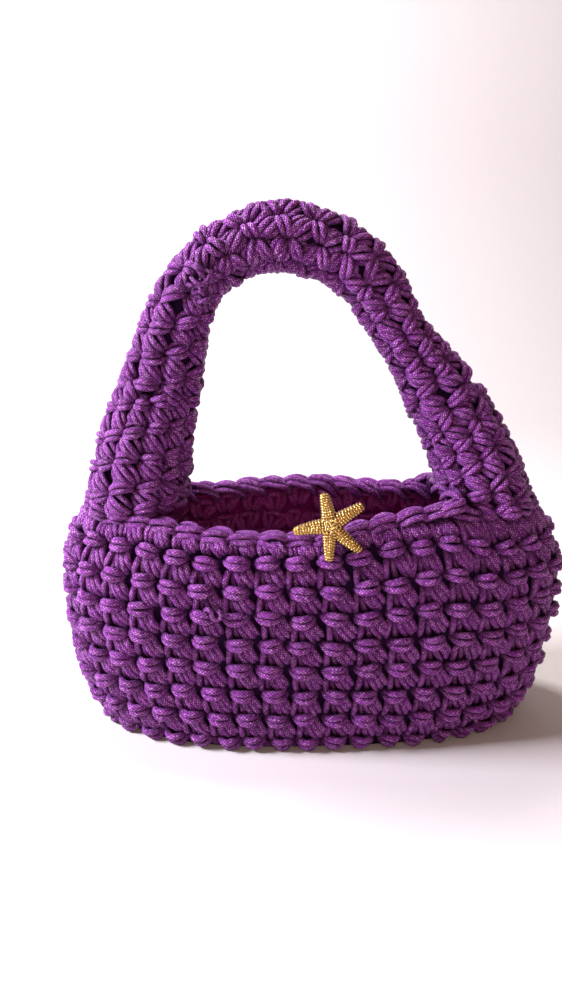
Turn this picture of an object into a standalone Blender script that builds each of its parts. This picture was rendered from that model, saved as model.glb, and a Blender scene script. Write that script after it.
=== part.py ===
# Crocheted mini bag with a folded arch handle and a starfish charm.
#
# The bag stands on its flat base. The origin is the middle of the base, X runs
# along the bag to the right, Y runs from the front wall to the back wall and Z
# is up. Lengths are metres. The body is a hollow oval basket of thick stitches,
# open at the top. The handle is a strap folded into a tube, whose two ends
# flare and stand on the ends of the rim. The charm hangs on the front of the
# rim by one pin that goes through the wall.

import math

import bmesh
import bpy
import numpy as np
from mathutils import Matrix, Vector

# Sizes of the body
BODY_WIDTH = 0.247
BODY_DEPTH = 0.088
BODY_HEIGHT = 0.118
WALL = 0.009
BASE_THICKNESS = 0.009
RIM_ROUNDING = 0.0022
RIM_WAVE = 0.006

# Stitches of the body
STITCH_COLUMNS = 40
STITCH_ROWS = 8
FIRST_ROW = 0.0046
RIM_BAND = 0.0126
STITCH_RELIEF = 0.0015

# Sizes of the handle
HANDLE_RISE = 0.122
HANDLE_WIDTH = 0.050
HANDLE_DEPTH = 0.054
HANDLE_WALL = 0.009
HANDLE_HOLLOW = 0.042
HANDLE_SET_IN = 0.0005
HANDLE_LEVELLING = 0.030
HANDLE_ROWS = 24
HANDLE_STITCHES_ROUND = 7
HANDLE_RELIEF = 0.0014

# Sizes of the charm and its pin
STAR_RADIUS = 0.0170
STAR_THICKNESS = 0.0042
STAR_EDGE = 0.0012
STAR_ARM_ROOT = 0.0078
STAR_ARM_TIP = 0.0036
STAR_STANDOFF = 0.0030
STAR_OFFSET = 0.0068
STAR_RAISE = 0.0125
PIN_DROP = 0.0080
PIN_RADIUS = 0.0010
PIN_DISC_RADIUS = 0.0040
PIN_DISC_THICKNESS = 0.0012

# Gap between pieces that touch
CLEARANCE = 0.0003

# Outside of the body from the base up.
# columns: height, width, depth as shares of the body, squareness of the oval
BODY_SECTIONS = np.array([
    (0.00, 0.835, 0.860, 2.45),
    (0.03, 0.885, 0.930, 2.45),
    (0.08, 0.918, 0.965, 2.45),
    (0.18, 0.950, 0.985, 2.50),
    (0.35, 0.983, 1.000, 2.60),
    (0.55, 1.000, 1.000, 2.60),
    (0.73, 0.995, 0.980, 2.60),
    (0.87, 0.958, 0.915, 2.55),
    (1.00, 0.899, 0.825, 2.50),
])

# Height of the rim over its ends.
# columns: place across as a share of half the rim, height as a share of the wave
FRONT_RIM = np.array([
    (-1.00, 0.00),
    (-0.68, 0.00),
    (-0.52, -0.45),
    (-0.35, -0.85),
    (-0.10, -0.95),
    (0.08, -0.70),
    (0.22, 0.05),
    (0.40, 0.70),
    (0.55, 0.75),
    (0.68, 0.00),
    (1.00, 0.00),
])
BACK_RIM = np.array([
    (-1.00, 0.00),
    (-0.68, 0.00),
    (-0.50, -0.60),
    (-0.20, -0.15),
    (0.05, 0.00),
    (0.35, -0.45),
    (0.55, -0.25),
    (0.68, 0.00),
    (1.00, 0.00),
])
RIM_WAVE_FADE = 3.0

# Folded handle from the left end of the rim to the right one.
# columns: place across as a share of the base's distance from the middle,
# height as a share of the rise, width and depth as shares of the handle's own
HANDLE_SECTIONS = np.array([
    (-1.000, 0.000, 1.00, 1.00),
    (-0.930, 0.228, 0.88, 0.76),
    (-0.826, 0.458, 0.76, 0.56),
    (-0.738, 0.675, 0.63, 0.49),
    (-0.607, 0.852, 0.54, 0.47),
    (-0.417, 0.950, 0.54, 0.46),
    (-0.186, 0.996, 0.61, 0.46),
    (0.056, 0.959, 0.58, 0.46),
    (0.310, 0.820, 0.54, 0.46),
    (0.470, 0.648, 0.49, 0.47),
    (0.664, 0.460, 0.66, 0.52),
    (0.855, 0.236, 0.78, 0.72),
    (1.000, 0.000, 0.89, 1.00),
])
HANDLE_SQUARENESS = 2.2

# Inside of each handle foot.
# columns: depth as a share of the hollow, wall as a share of the handle's wall
HANDLE_HOLLOW_SECTIONS = [
    (1.00, 1.55),
    (0.97, 1.20),
    (0.70, 1.05),
    (0.35, 1.00),
]

# Arms of the starfish.
# columns: angle in degrees, length as a share of the radius, bend as a share of the length
STAR_ARMS = np.array([
    (102.0, 0.97, 0.05),
    (32.0, 1.03, -0.06),
    (-41.0, 1.03, 0.07),
    (-93.0, 0.95, 0.03),
    (188.0, 0.96, -0.07),
])

ROUND_SIDES = 16


def clear_scene():
    for item in list(bpy.data.objects):
        bpy.data.objects.remove(item, do_unlink=True)


def make_collection(name):
    collection = bpy.data.collections.new(name)
    bpy.context.scene.collection.children.link(collection)
    return collection


def make_material(name, colour, roughness, metallic):
    material = bpy.data.materials.new(name)
    material.use_nodes = True
    shader = material.node_tree.nodes["Principled BSDF"]
    shader.inputs["Base Color"].default_value = (*colour, 1.0)
    shader.inputs["Roughness"].default_value = roughness
    shader.inputs["Metallic"].default_value = metallic
    return material


def smooth_through(places, values, wanted):
    """Smooth curve through the rows of a table, which never overshoots a row."""
    places = np.asarray(places, float)
    values = np.asarray(values, float)
    steep = np.diff(values, axis=0) / np.diff(places).reshape((-1,) + (1,) * (values.ndim - 1))
    before, after = steep[:-1], steep[1:]
    level = before * after <= 0.0
    mean = 2.0 * before * after / np.where(level, 1.0, before + after)
    slopes = np.concatenate([steep[:1], np.where(level, 0.0, mean), steep[-1:]])
    wanted = np.atleast_1d(np.asarray(wanted, float))
    span = np.clip(np.searchsorted(places, wanted) - 1, 0, len(places) - 2)
    step = places[span + 1] - places[span]
    share = np.clip((wanted - places[span]) / step, 0.0, 1.0)
    if values.ndim > 1:
        share = share[:, None]
        step = step[:, None]
    rise = share * share * (3.0 - 2.0 * share)
    leave = share * (1.0 - share) ** 2
    arrive = share * share * (1.0 - share)
    ends = values[span] * (1.0 - rise) + values[span + 1] * rise
    return ends + step * (slopes[span] * leave - slopes[span + 1] * arrive)


def oval(half_width, half_depth, squareness, count):
    """Points of an oval at equal steps along its outline, from +X towards +Y."""
    fine = np.linspace(0.0, 2.0 * math.pi, 1441)
    across = half_width * np.sign(np.cos(fine)) * np.abs(np.cos(fine)) ** (2.0 / squareness)
    deep = half_depth * np.sign(np.sin(fine)) * np.abs(np.sin(fine)) ** (2.0 / squareness)
    run = np.concatenate([[0.0], np.cumsum(np.hypot(np.diff(across), np.diff(deep)))])
    wanted = np.linspace(0.0, run[-1], count + 1)[:-1]
    return np.column_stack([np.interp(wanted, run, across), np.interp(wanted, run, deep)])


def rim_height(outline, half_width):
    """How far the rim stands over its own ends at each point of an outline."""
    place = np.clip(outline[:, 0] / half_width, -1.0, 1.0)
    front = smooth_through(FRONT_RIM[:, 0], FRONT_RIM[:, 1], place)
    back = smooth_through(BACK_RIM[:, 0], BACK_RIM[:, 1], place)
    return RIM_WAVE * np.where(outline[:, 1] < 0.0, front, back)


def body_ring(height_share, inset=0.0, drop=0.0, count=2 * STITCH_COLUMNS):
    """One level outline of the body, moved in by inset and down by drop."""
    width, depth, squareness = smooth_through(
        BODY_SECTIONS[:, 0], BODY_SECTIONS[:, 1:], height_share)[0]
    half_width = width * BODY_WIDTH / 2.0
    half_depth = depth * BODY_DEPTH / 2.0
    wave = rim_height(oval(half_width, half_depth, squareness, count), half_width)
    outline = oval(half_width - inset, half_depth - inset, squareness, count)
    level = height_share * BODY_HEIGHT + wave * height_share ** RIM_WAVE_FADE - drop
    return np.column_stack([outline, level])


def push_out(ring, amounts):
    """Move the points of a ring outwards in its own plane."""
    run = np.roll(ring, -1, axis=0) - np.roll(ring, 1, axis=0)
    outward = np.column_stack([run[:, 1], -run[:, 0]])
    outward /= np.linalg.norm(outward, axis=1)[:, None]
    moved = ring.copy()
    moved[:, :2] += outward * np.asarray(amounts)[:, None]
    return moved


def loft(name, rings):
    """Closed body through rings of equal count, with a flat cap at both ends."""
    mesh = bpy.data.meshes.new(name)
    shape = bmesh.new()
    rows = [[shape.verts.new(point) for point in ring] for ring in rings]
    for lower, upper in zip(rows, rows[1:]):
        for index in range(len(lower)):
            after = (index + 1) % len(lower)
            shape.faces.new((lower[index], lower[after], upper[after], upper[index]))
    shape.faces.new(rows[0])
    shape.faces.new(rows[-1])
    bmesh.ops.recalc_face_normals(shape, faces=shape.faces)
    shape.to_mesh(mesh)
    shape.free()
    return bpy.data.objects.new(name, mesh)


def finish_piece(piece, collection, material):
    collection.objects.link(piece)
    piece.data.materials.append(material)
    piece.data.shade_smooth()
    piece.data.set_sharp_from_angle(angle=math.radians(50.0))


def make_body(collection, material):
    """Hollow basket: up the inside, over the rim, down the outside."""
    floor_share = BASE_THICKNESS / BODY_HEIGHT
    rings = [body_ring(floor_share, inset=2.0 * WALL)]
    rings.append(body_ring(floor_share + 0.4 * WALL / BODY_HEIGHT, inset=1.2 * WALL))
    first_inside = floor_share + WALL / BODY_HEIGHT
    for share in np.linspace(first_inside, 1.0, STITCH_ROWS + 1)[:-1]:
        rings.append(body_ring(share, inset=WALL))
    rings.append(body_ring(1.0, inset=WALL, drop=RIM_ROUNDING))
    rings.append(body_ring(1.0, inset=WALL - RIM_ROUNDING))
    rings.append(body_ring(1.0, inset=RIM_ROUNDING))
    rings.append(body_ring(1.0, drop=RIM_ROUNDING))

    pitch = (BODY_HEIGHT - RIM_BAND - FIRST_ROW) / (STITCH_ROWS - 1)
    highest = BODY_HEIGHT - RIM_BAND + pitch / 2.0
    levels = np.linspace(highest, FIRST_ROW, 2 * STITCH_ROWS) / BODY_HEIGHT
    crowns = np.arange(2 * STITCH_COLUMNS) % 2
    for number, share in enumerate(levels):
        through_stitches = -0.6 + 2.0 * crowns
        between_stitches = -0.4 + 0.2 * crowns
        height = through_stitches if number % 2 else between_stitches
        rings.append(push_out(body_ring(share), STITCH_RELIEF * height))
    rings.append(body_ring(0.0))
    return loft("bag_body", rings)


def rim_half_width():
    return BODY_SECTIONS[-1, 1] * BODY_WIDTH / 2.0


def handle_path():
    """Table of the handle in metres, with the run along its middle line."""
    reach = rim_half_width() - HANDLE_SET_IN - HANDLE_WIDTH / 2.0
    foot = BODY_HEIGHT + CLEARANCE
    table = np.column_stack([
        HANDLE_SECTIONS[:, 0] * reach,
        foot + HANDLE_SECTIONS[:, 1] * HANDLE_RISE,
        HANDLE_SECTIONS[:, 2] * HANDLE_WIDTH,
        HANDLE_SECTIONS[:, 3] * HANDLE_DEPTH,
    ])
    steps = np.hypot(np.diff(table[:, 0]), np.diff(table[:, 1]))
    run = np.concatenate([[0.0], np.cumsum(steps)])
    return run, table


def handle_ring(run, table, place, inset=0.0, count=2 * HANDLE_STITCHES_ROUND):
    """One section across the handle, level at the feet and square to it above."""
    across, up, width, depth = smooth_through(run, table, place)[0]
    probe = run[-1] / 300.0
    ahead = smooth_through(run, table, min(place + probe, run[-1]))[0]
    behind = smooth_through(run, table, max(place - probe, 0.0))[0]
    along = np.array([ahead[0] - behind[0], ahead[1] - behind[1]])
    along /= np.linalg.norm(along)
    from_foot = min(place, run[-1] - place)
    share = min(from_foot / HANDLE_LEVELLING, 1.0)
    level = 1.0 if place < run[-1] / 2.0 else -1.0
    along = along * share + np.array([0.0, level]) * (1.0 - share)
    along /= np.linalg.norm(along)
    outwards = np.array([-along[1], along[0]])
    section = oval(width / 2.0 - inset, depth / 2.0 - inset, HANDLE_SQUARENESS, count)
    return np.column_stack([
        across + outwards[0] * section[:, 0],
        section[:, 1],
        up + outwards[1] * section[:, 0],
    ])


def swell(ring, amounts):
    """Move the points of a handle section away from its middle."""
    middle = ring.mean(axis=0)
    away = ring - middle
    away /= np.linalg.norm(away, axis=1)[:, None]
    return ring + away * np.asarray(amounts)[:, None]


def make_handle():
    """Folded strap: out of the left hollow, over the arch, into the right one."""
    run, table = handle_path()
    length = run[-1]
    rings = []
    for depth_share, wall_share in HANDLE_HOLLOW_SECTIONS:
        rings.append(handle_ring(run, table, HANDLE_HOLLOW * depth_share, HANDLE_WALL * wall_share))
    rings.append(handle_ring(run, table, 0.0, inset=HANDLE_WALL))
    count = 2 * HANDLE_STITCHES_ROUND
    for number, place in enumerate(np.linspace(0.0, length, 2 * HANDLE_ROWS + 1)):
        ring = handle_ring(run, table, place)
        crowns = (np.arange(count) + number // 2) % 2
        if 0 < number < 2 * HANDLE_ROWS:
            through_stitches = -0.7 + 2.0 * crowns
            between_stitches = np.full(count, -0.3)
            height = through_stitches if number % 2 else between_stitches
            ring = swell(ring, HANDLE_RELIEF * height)
        rings.append(ring)
    rings.append(handle_ring(run, table, length, inset=HANDLE_WALL))
    for depth_share, wall_share in HANDLE_HOLLOW_SECTIONS[::-1]:
        place = length - HANDLE_HOLLOW * depth_share
        rings.append(handle_ring(run, table, place, HANDLE_WALL * wall_share))
    return loft("handle", rings)


def charm_frame():
    """Place on the front wall where the pin goes through, with the wall's own axes."""
    share = 1.0 - PIN_DROP / BODY_HEIGHT

    def wall_point(height_share):
        ring = body_ring(height_share, count=720)
        front = ring[ring[:, 1] < 0.0]
        return Vector(front[np.argmin(np.abs(front[:, 0] - STAR_OFFSET))])

    here = wall_point(share)
    step = 0.02
    up = (wall_point(share + step) - wall_point(share - step))
    up.x = 0.0
    up.normalize()
    right = Vector((1.0, 0.0, 0.0))
    outward = right.cross(up)
    here.x = STAR_OFFSET
    return here, right, up, outward


def star_outline():
    """Outline of the starfish and the point of the arm's ridge inside each of its points."""
    arms = sorted(STAR_ARMS.tolist(), key=lambda row: row[0])
    along_shares = (0.42, 0.60, 0.78)
    tip_angles = np.radians((-60.0, 0.0, 60.0))
    edge = []
    ridge = []
    for number, (angle, length_share, bend) in enumerate(arms):
        length = STAR_RADIUS * length_share
        turn = math.radians(angle)
        axis = np.array([math.cos(turn), math.sin(turn)])
        side = np.array([-axis[1], axis[0]])
        tip_half = STAR_ARM_TIP / 2.0

        def place(along, across):
            return axis * along + side * (across + bend * length * (along / length) ** 2)

        def half_width(share):
            return (STAR_ARM_ROOT + (STAR_ARM_TIP - STAR_ARM_ROOT) * share) / 2.0

        for share in along_shares:
            edge.append(place(length * share, -half_width(share)))
            ridge.append(place(length * share, 0.0))
        for tip in tip_angles:
            across = tip_half * math.sin(tip)
            along = length - tip_half + tip_half * math.cos(tip)
            edge.append(place(along, across))
            ridge.append(place(length - tip_half, 0.0))
        for share in along_shares[::-1]:
            edge.append(place(length * share, half_width(share)))
            ridge.append(place(length * share, 0.0))
        after = arms[(number + 1) % len(arms)][0]
        between = math.radians(angle + ((after - angle) % 360.0) / 2.0)
        crotch = np.array([math.cos(between), math.sin(between)])
        opening = math.radians(((after - angle) % 360.0) / 2.0)
        edge.append(crotch * STAR_ARM_ROOT * 0.46 / math.sin(opening))
        ridge.append(crotch * STAR_ARM_ROOT * 0.16)
    return np.array(edge), np.array(ridge)


def make_star(frame):
    """Starfish with a flat back and arms that rise to a ridge."""
    here, right, up, outward = frame
    edge, ridge = star_outline()
    reach = np.linalg.norm(ridge, axis=1) / STAR_RADIUS
    crest = STAR_THICKNESS * (1.0 - 0.45 * reach)
    shoulder = edge * 0.55 + ridge * 0.45
    rings = [
        np.column_stack([edge, np.zeros(len(edge))]),
        np.column_stack([edge, np.full(len(edge), STAR_EDGE)]),
        np.column_stack([shoulder, crest * 0.84]),
        np.column_stack([ridge, crest]),
    ]
    star = loft("star_charm", rings)
    shape = bmesh.new()
    shape.from_mesh(star.data)
    bmesh.ops.remove_doubles(shape, verts=shape.verts, dist=0.00001)
    shape.to_mesh(star.data)
    shape.free()
    middle = here + up * STAR_RAISE + outward * STAR_STANDOFF
    turn = Matrix((right, up, outward)).transposed().to_4x4()
    star.matrix_world = Matrix.Translation(middle) @ turn
    return star


def make_pin(frame):
    """Plain pin behind the charm: a round post with a flat disc inside the bag."""
    here, right, up, outward = frame
    lean = math.cos(math.atan2(outward.z, -outward.y))
    top = STAR_STANDOFF - CLEARANCE
    disc_top = -WALL * lean - 3.0 * CLEARANCE
    disc_bottom = disc_top - PIN_DISC_THICKNESS
    profile = [
        (0.0, top), (PIN_RADIUS, top), (PIN_RADIUS, disc_top),
        (PIN_DISC_RADIUS, disc_top), (PIN_DISC_RADIUS, disc_bottom), (0.0, disc_bottom),
    ]
    mesh = bpy.data.meshes.new("star_pin")
    mesh.from_pydata([(radius, 0.0, height) for radius, height in profile],
                     [(i, i + 1) for i in range(len(profile) - 1)], [])
    pin = bpy.data.objects.new("star_pin", mesh)
    turning = pin.modifiers.new("Turn", "SCREW")
    turning.axis = "Z"
    turning.steps = ROUND_SIDES
    turning.render_steps = ROUND_SIDES
    turning.use_merge_vertices = True
    turning.merge_threshold = 0.00001
    turn = Matrix((right, up, outward)).transposed().to_4x4()
    pin.matrix_world = Matrix.Translation(here) @ turn
    return pin


def cut_pin_hole(body, frame, cutters):
    """Clear the pin's way through the wall."""
    here, right, up, outward = frame
    bpy.ops.mesh.primitive_cylinder_add(
        vertices=ROUND_SIDES, radius=PIN_RADIUS + CLEARANCE, depth=4.0 * WALL)
    cutter = bpy.context.object
    cutter.name = "pin_way"
    for owner in list(cutter.users_collection):
        owner.objects.unlink(cutter)
    cutters.objects.link(cutter)
    cutter.hide_render = True
    cutter.display_type = "WIRE"
    turn = Matrix((right, up, outward)).transposed().to_4x4()
    cutter.matrix_world = Matrix.Translation(here - outward * WALL / 2.0) @ turn
    cut = body.modifiers.new("Pin hole", "BOOLEAN")
    cut.operation = "DIFFERENCE"
    cut.solver = "EXACT"
    cut.object = cutter


def main():
    clear_scene()
    parts = make_collection("mini_bag")
    cutters = make_collection("cutters")
    purple_cord = make_material("purple_cord", (0.215, 0.040, 0.420), 0.42, 0.0)
    gold_metal = make_material("gold_metal", (0.830, 0.560, 0.180), 0.28, 1.0)

    frame = charm_frame()
    body = make_body(parts, purple_cord)
    finish_piece(body, parts, purple_cord)
    cut_pin_hole(body, frame, cutters)

    handle = make_handle()
    finish_piece(handle, parts, purple_cord)

    star = make_star(frame)
    finish_piece(star, parts, gold_metal)

    pin = make_pin(frame)
    finish_piece(pin, parts, gold_metal)


main()
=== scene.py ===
# Crocheted mini bag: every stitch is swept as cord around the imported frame
import math
import bpy
import numpy as np
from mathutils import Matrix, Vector


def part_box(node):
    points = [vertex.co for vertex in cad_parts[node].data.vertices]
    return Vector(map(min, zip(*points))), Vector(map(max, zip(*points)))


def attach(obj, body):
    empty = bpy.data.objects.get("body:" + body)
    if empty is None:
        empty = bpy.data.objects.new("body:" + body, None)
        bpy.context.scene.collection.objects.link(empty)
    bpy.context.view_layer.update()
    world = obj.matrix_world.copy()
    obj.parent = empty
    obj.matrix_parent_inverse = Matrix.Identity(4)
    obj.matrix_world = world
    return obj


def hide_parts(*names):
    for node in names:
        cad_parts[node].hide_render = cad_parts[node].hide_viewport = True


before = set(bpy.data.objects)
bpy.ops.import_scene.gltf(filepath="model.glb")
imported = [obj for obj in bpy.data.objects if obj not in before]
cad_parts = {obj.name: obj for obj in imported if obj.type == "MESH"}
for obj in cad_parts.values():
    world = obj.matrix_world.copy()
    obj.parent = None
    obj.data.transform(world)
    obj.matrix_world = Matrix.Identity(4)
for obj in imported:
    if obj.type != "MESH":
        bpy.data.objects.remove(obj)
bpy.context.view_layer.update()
rng = np.random.default_rng(41)
mm = 0.001
print("frame loaded")


# Camera and framing, at the photo's viewing angle
cameraSetup = {
    "place": (-0.0150, -0.3460, 0.2496),
    "pitchDown": 21.0,          # degrees below level
    "imageHeight": 1000.0,
    "focalPixels": 751.0,       # focal length in the image's own pixels
    "sensorHeight": 36.0,
}


def makeCamera(setup):
    data = bpy.data.cameras.new("photoCamera")
    data.sensor_fit = "VERTICAL"
    data.sensor_height = setup["sensorHeight"]
    data.lens = setup["focalPixels"] / setup["imageHeight"] * setup["sensorHeight"]
    data.clip_start = 0.01
    camera = bpy.data.objects.new("photoCamera", data)
    camera.location = setup["place"]
    camera.rotation_euler = (math.radians(90.0 - setup["pitchDown"]), 0.0, 0.0)
    bpy.context.scene.collection.objects.link(camera)
    bpy.context.scene.camera = camera


makeCamera(cameraSetup)


# Curves and grids that the cord follows
def smoothColumn(places, values, wanted):
    # a smooth curve through the rows of a table, which never overshoots a row
    places = np.asarray(places, float)
    values = np.asarray(values, float)
    steep = np.diff(values, axis=0) / np.diff(places).reshape((-1,) + (1,) * (values.ndim - 1))
    before, after = steep[:-1], steep[1:]
    level = before * after <= 0.0
    mean = 2.0 * before * after / np.where(level, 1.0, before + after)
    slopes = np.concatenate([steep[:1], np.where(level, 0.0, mean), steep[-1:]])
    wanted = np.atleast_1d(np.asarray(wanted, float))
    span = np.clip(np.searchsorted(places, wanted) - 1, 0, len(places) - 2)
    step = places[span + 1] - places[span]
    share = np.clip((wanted - places[span]) / step, 0.0, 1.0)
    if values.ndim > 1:
        share = share[:, None]
        step = step[:, None]
    rise = share * share * (3.0 - 2.0 * share)
    leave = share * (1.0 - share) ** 2
    arrive = share * share * (1.0 - share)
    ends = values[span] * (1.0 - rise) + values[span + 1] * rise
    return ends + step * (slopes[span] * leave - slopes[span + 1] * arrive)


def oval(halfWidth, halfDepth, squareness, count):
    fine = np.linspace(0.0, 2.0 * math.pi, 1441)
    across = halfWidth * np.sign(np.cos(fine)) * np.abs(np.cos(fine)) ** (2.0 / squareness)
    deep = halfDepth * np.sign(np.sin(fine)) * np.abs(np.sin(fine)) ** (2.0 / squareness)
    run = np.concatenate([[0.0], np.cumsum(np.hypot(np.diff(across), np.diff(deep)))])
    wanted = np.linspace(0.0, run[-1], count + 1)[:-1]
    return np.column_stack([np.interp(wanted, run, across), np.interp(wanted, run, deep)])


def makeGrid(rings, low, high, hand=1.0):
    # rings of one count, closed around, with the outward normal at every point
    points = np.array(rings)
    around = np.roll(points, -1, axis=1) - np.roll(points, 1, axis=1)
    along = np.gradient(points, axis=0)
    normals = np.cross(around, along)
    normals *= hand / (np.linalg.norm(normals, axis=2)[:, :, None] + 1e-12)
    return {"points": points, "normals": normals, "low": low, "high": high}


def readGrid(grid, turn, rise):
    # turn is the share of the way around, rise is in rows
    rows, count = grid["points"].shape[:2]
    r = np.clip((rise - grid["low"]) / (grid["high"] - grid["low"]), 0.0, 1.0) * (rows - 1)
    r0 = np.clip(np.floor(r).astype(int), 0, rows - 2)
    fr = (r - r0)[..., None]
    c = np.mod(turn, 1.0) * count
    c0 = np.floor(c).astype(int) % count
    c1 = (c0 + 1) % count
    fc = (c - np.floor(c))[..., None]
    result = []
    for field in (grid["points"], grid["normals"]):
        lower = field[r0, c0] * (1.0 - fc) + field[r0, c1] * fc
        upper = field[r0 + 1, c0] * (1.0 - fc) + field[r0 + 1, c1] * fc
        result.append(lower * (1.0 - fr) + upper * fr)
    place, normal = result
    normal = normal / (np.linalg.norm(normal, axis=-1)[..., None] + 1e-12)
    return place, normal


# Cord swept along many short paths, joined as one mesh
def smoothPaths(control, count):
    # Catmull-Rom through control points, shape (paths, points, values)
    first = 2.0 * control[:, :1] - control[:, 1:2]
    last = 2.0 * control[:, -1:] - control[:, -2:-1]
    full = np.concatenate([first, control, last], axis=1)
    spans = control.shape[1] - 1
    t = np.linspace(0.0, spans, count)
    k = np.clip(np.floor(t).astype(int), 0, spans - 1)
    f = (t - k)[None, :, None]
    a, b, c, d = (full[:, k + i] for i in range(4))
    return 0.5 * (2.0 * b + (c - a) * f + (2.0 * a - 5.0 * b + 4.0 * c - d) * f * f
                  + (3.0 * b - a - 3.0 * c + d) * f * f * f)


def sweep(paths, radii, hints, sides):
    # paths (n, m, 3), radii (n, m), hints (n, 3) near the first ring's side direction
    n, m = paths.shape[:2]
    tangent = np.gradient(paths, axis=1)
    tangent /= np.linalg.norm(tangent, axis=2)[:, :, None] + 1e-12
    side = hints.copy()
    rings = []
    for k in range(m):
        side = side - (side * tangent[:, k]).sum(1)[:, None] * tangent[:, k]
        side /= np.linalg.norm(side, axis=1)[:, None] + 1e-12
        other = np.cross(tangent[:, k], side)
        angle = np.arange(sides) * 2.0 * math.pi / sides
        ring = (side[:, None, :] * np.cos(angle)[None, :, None]
                + other[:, None, :] * np.sin(angle)[None, :, None])
        rings.append(paths[:, k, None, :] + ring * radii[:, k, None, None])
    verts = np.stack(rings, axis=1).reshape(n, m * sides, 3)
    length = np.concatenate([np.zeros((n, 1)), np.cumsum(
        np.linalg.norm(np.diff(paths, axis=1), axis=2), axis=1)], axis=1)
    return {"verts": verts, "length": length, "m": m, "sides": sides}


def joinTubes(name, batches):
    verts, loops, starts, totals, uvs, tints = [], [], [], [], [], []
    base, loopBase = 0, 0
    for batch in batches:
        n, m, sides = len(batch["verts"]), batch["m"], batch["sides"]
        k = np.arange(m - 1)[:, None]
        s = np.arange(sides)[None, :]
        after = (s + 1) % sides
        quad = np.stack([k * sides + s, k * sides + after, (k + 1) * sides + after,
                         (k + 1) * sides + s], axis=-1).reshape(-1, 4)
        quadU = np.broadcast_to(np.stack([s, s + 1, s + 1, s], axis=-1) / sides, (m - 1, sides, 4))
        rowOf = np.stack([k + 0 * s, k + 0 * s, k + 1 + 0 * s, k + 1 + 0 * s], axis=-1).reshape(-1, 4)
        capLow = np.arange(sides)[::-1]
        capHigh = (m - 1) * sides + np.arange(sides)
        offsets = base + np.arange(n) * m * sides
        tint = rng.random(n)
        twist = rng.random(n)
        quads = (offsets[:, None, None] + quad[None]).reshape(-1)
        quadV = batch["length"][:, rowOf]
        quadUv = np.stack([np.broadcast_to(quadU.reshape(1, -1, 4), quadV.shape)
                           + twist[:, None, None], quadV], axis=-1).reshape(-1, 2)
        caps = np.concatenate([offsets[:, None] + capLow[None], offsets[:, None] + capHigh[None]],
                              axis=1).reshape(-1)
        capUv = np.stack([np.tile(np.arange(sides) / sides, 2 * n),
                          np.repeat(batch["length"][:, [0, -1]].reshape(-1), sides)], axis=-1)
        verts.append(batch["verts"].reshape(-1, 3))
        loops += [quads, caps]
        uvs += [quadUv, capUv]
        starts.append(loopBase + np.arange(n * len(quad)) * 4)
        totals.append(np.full(n * len(quad), 4))
        loopBase += len(quads)
        starts.append(loopBase + np.arange(2 * n) * sides)
        totals.append(np.full(2 * n, sides))
        loopBase += len(caps)
        tints.append(np.repeat(tint, m * sides))
        base += n * m * sides
    verts = np.concatenate(verts)
    loops = np.concatenate(loops).astype(np.int32)
    starts = np.concatenate(starts).astype(np.int32)
    totals = np.concatenate(totals).astype(np.int32)
    uvs = np.concatenate(uvs)
    mesh = bpy.data.meshes.new(name)
    mesh.vertices.add(len(verts))
    mesh.vertices.foreach_set("co", verts.astype(np.float32).reshape(-1))
    mesh.loops.add(len(loops))
    mesh.loops.foreach_set("vertex_index", loops)
    mesh.polygons.add(len(starts))
    mesh.polygons.foreach_set("loop_start", starts)
    mesh.polygons.foreach_set("loop_total", totals)
    mesh.update(calc_edges=True)
    layer = mesh.uv_layers.new(name="cordRun")
    layer.data.foreach_set("uv", uvs.astype(np.float32).reshape(-1))
    strand = mesh.attributes.new("strandTint", "FLOAT", "POINT")
    strand.data.foreach_set("value", np.concatenate(tints).astype(np.float32))
    mesh.validate()
    mesh.shade_smooth()
    piece = bpy.data.objects.new(name, mesh)
    bpy.context.scene.collection.objects.link(piece)
    triangles = int((totals - 2).sum())
    print(name, "has", triangles, "triangles")
    return piece


# Shape of the body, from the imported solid's own size
bagBody = {
    "solidRelief": 0.0016,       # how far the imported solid's stitches stand proud of its walls
    "columns": 40,
    "rows": 8,
    "firstRow": 0.0046,          # height of the lowest row of stitches
    "rimBand": 0.0126,           # from the highest row up to the rim
    "rimWave": 0.006,
    "rimWaveFade": 3.0,
    "sag": 0.0025,
    "sagAcross": -0.055,         # middle of the sagging stretch, and how far it reaches
    "sagReach": 0.055,
    "sagHeight": 0.03,
    "lean": 0.06,                # columns that each lower row moves to the right
    "cordRadius": 0.00158,
    "height": 0.118,
    "baseTurn": 0.2,             # rows below the floor's level where the wall turns flat
    "baseRows": 2.1,             # rows from there to the middle of the base
    "handleFrom": 0.068,         # from here on the body runs straight up into the handle
}
# columns: height, width, depth as shares of the body, squareness of the oval
bodySections = np.array([
    (0.00, 0.835, 0.860, 2.45),
    (0.03, 0.885, 0.930, 2.45),
    (0.08, 0.918, 0.965, 2.45),
    (0.18, 0.950, 0.985, 2.50),
    (0.35, 0.983, 1.000, 2.60),
    (0.55, 1.000, 1.000, 2.60),
    (0.73, 0.995, 0.980, 2.60),
    (0.87, 0.958, 0.915, 2.55),
    (1.00, 0.899, 0.825, 2.50),
])
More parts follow.
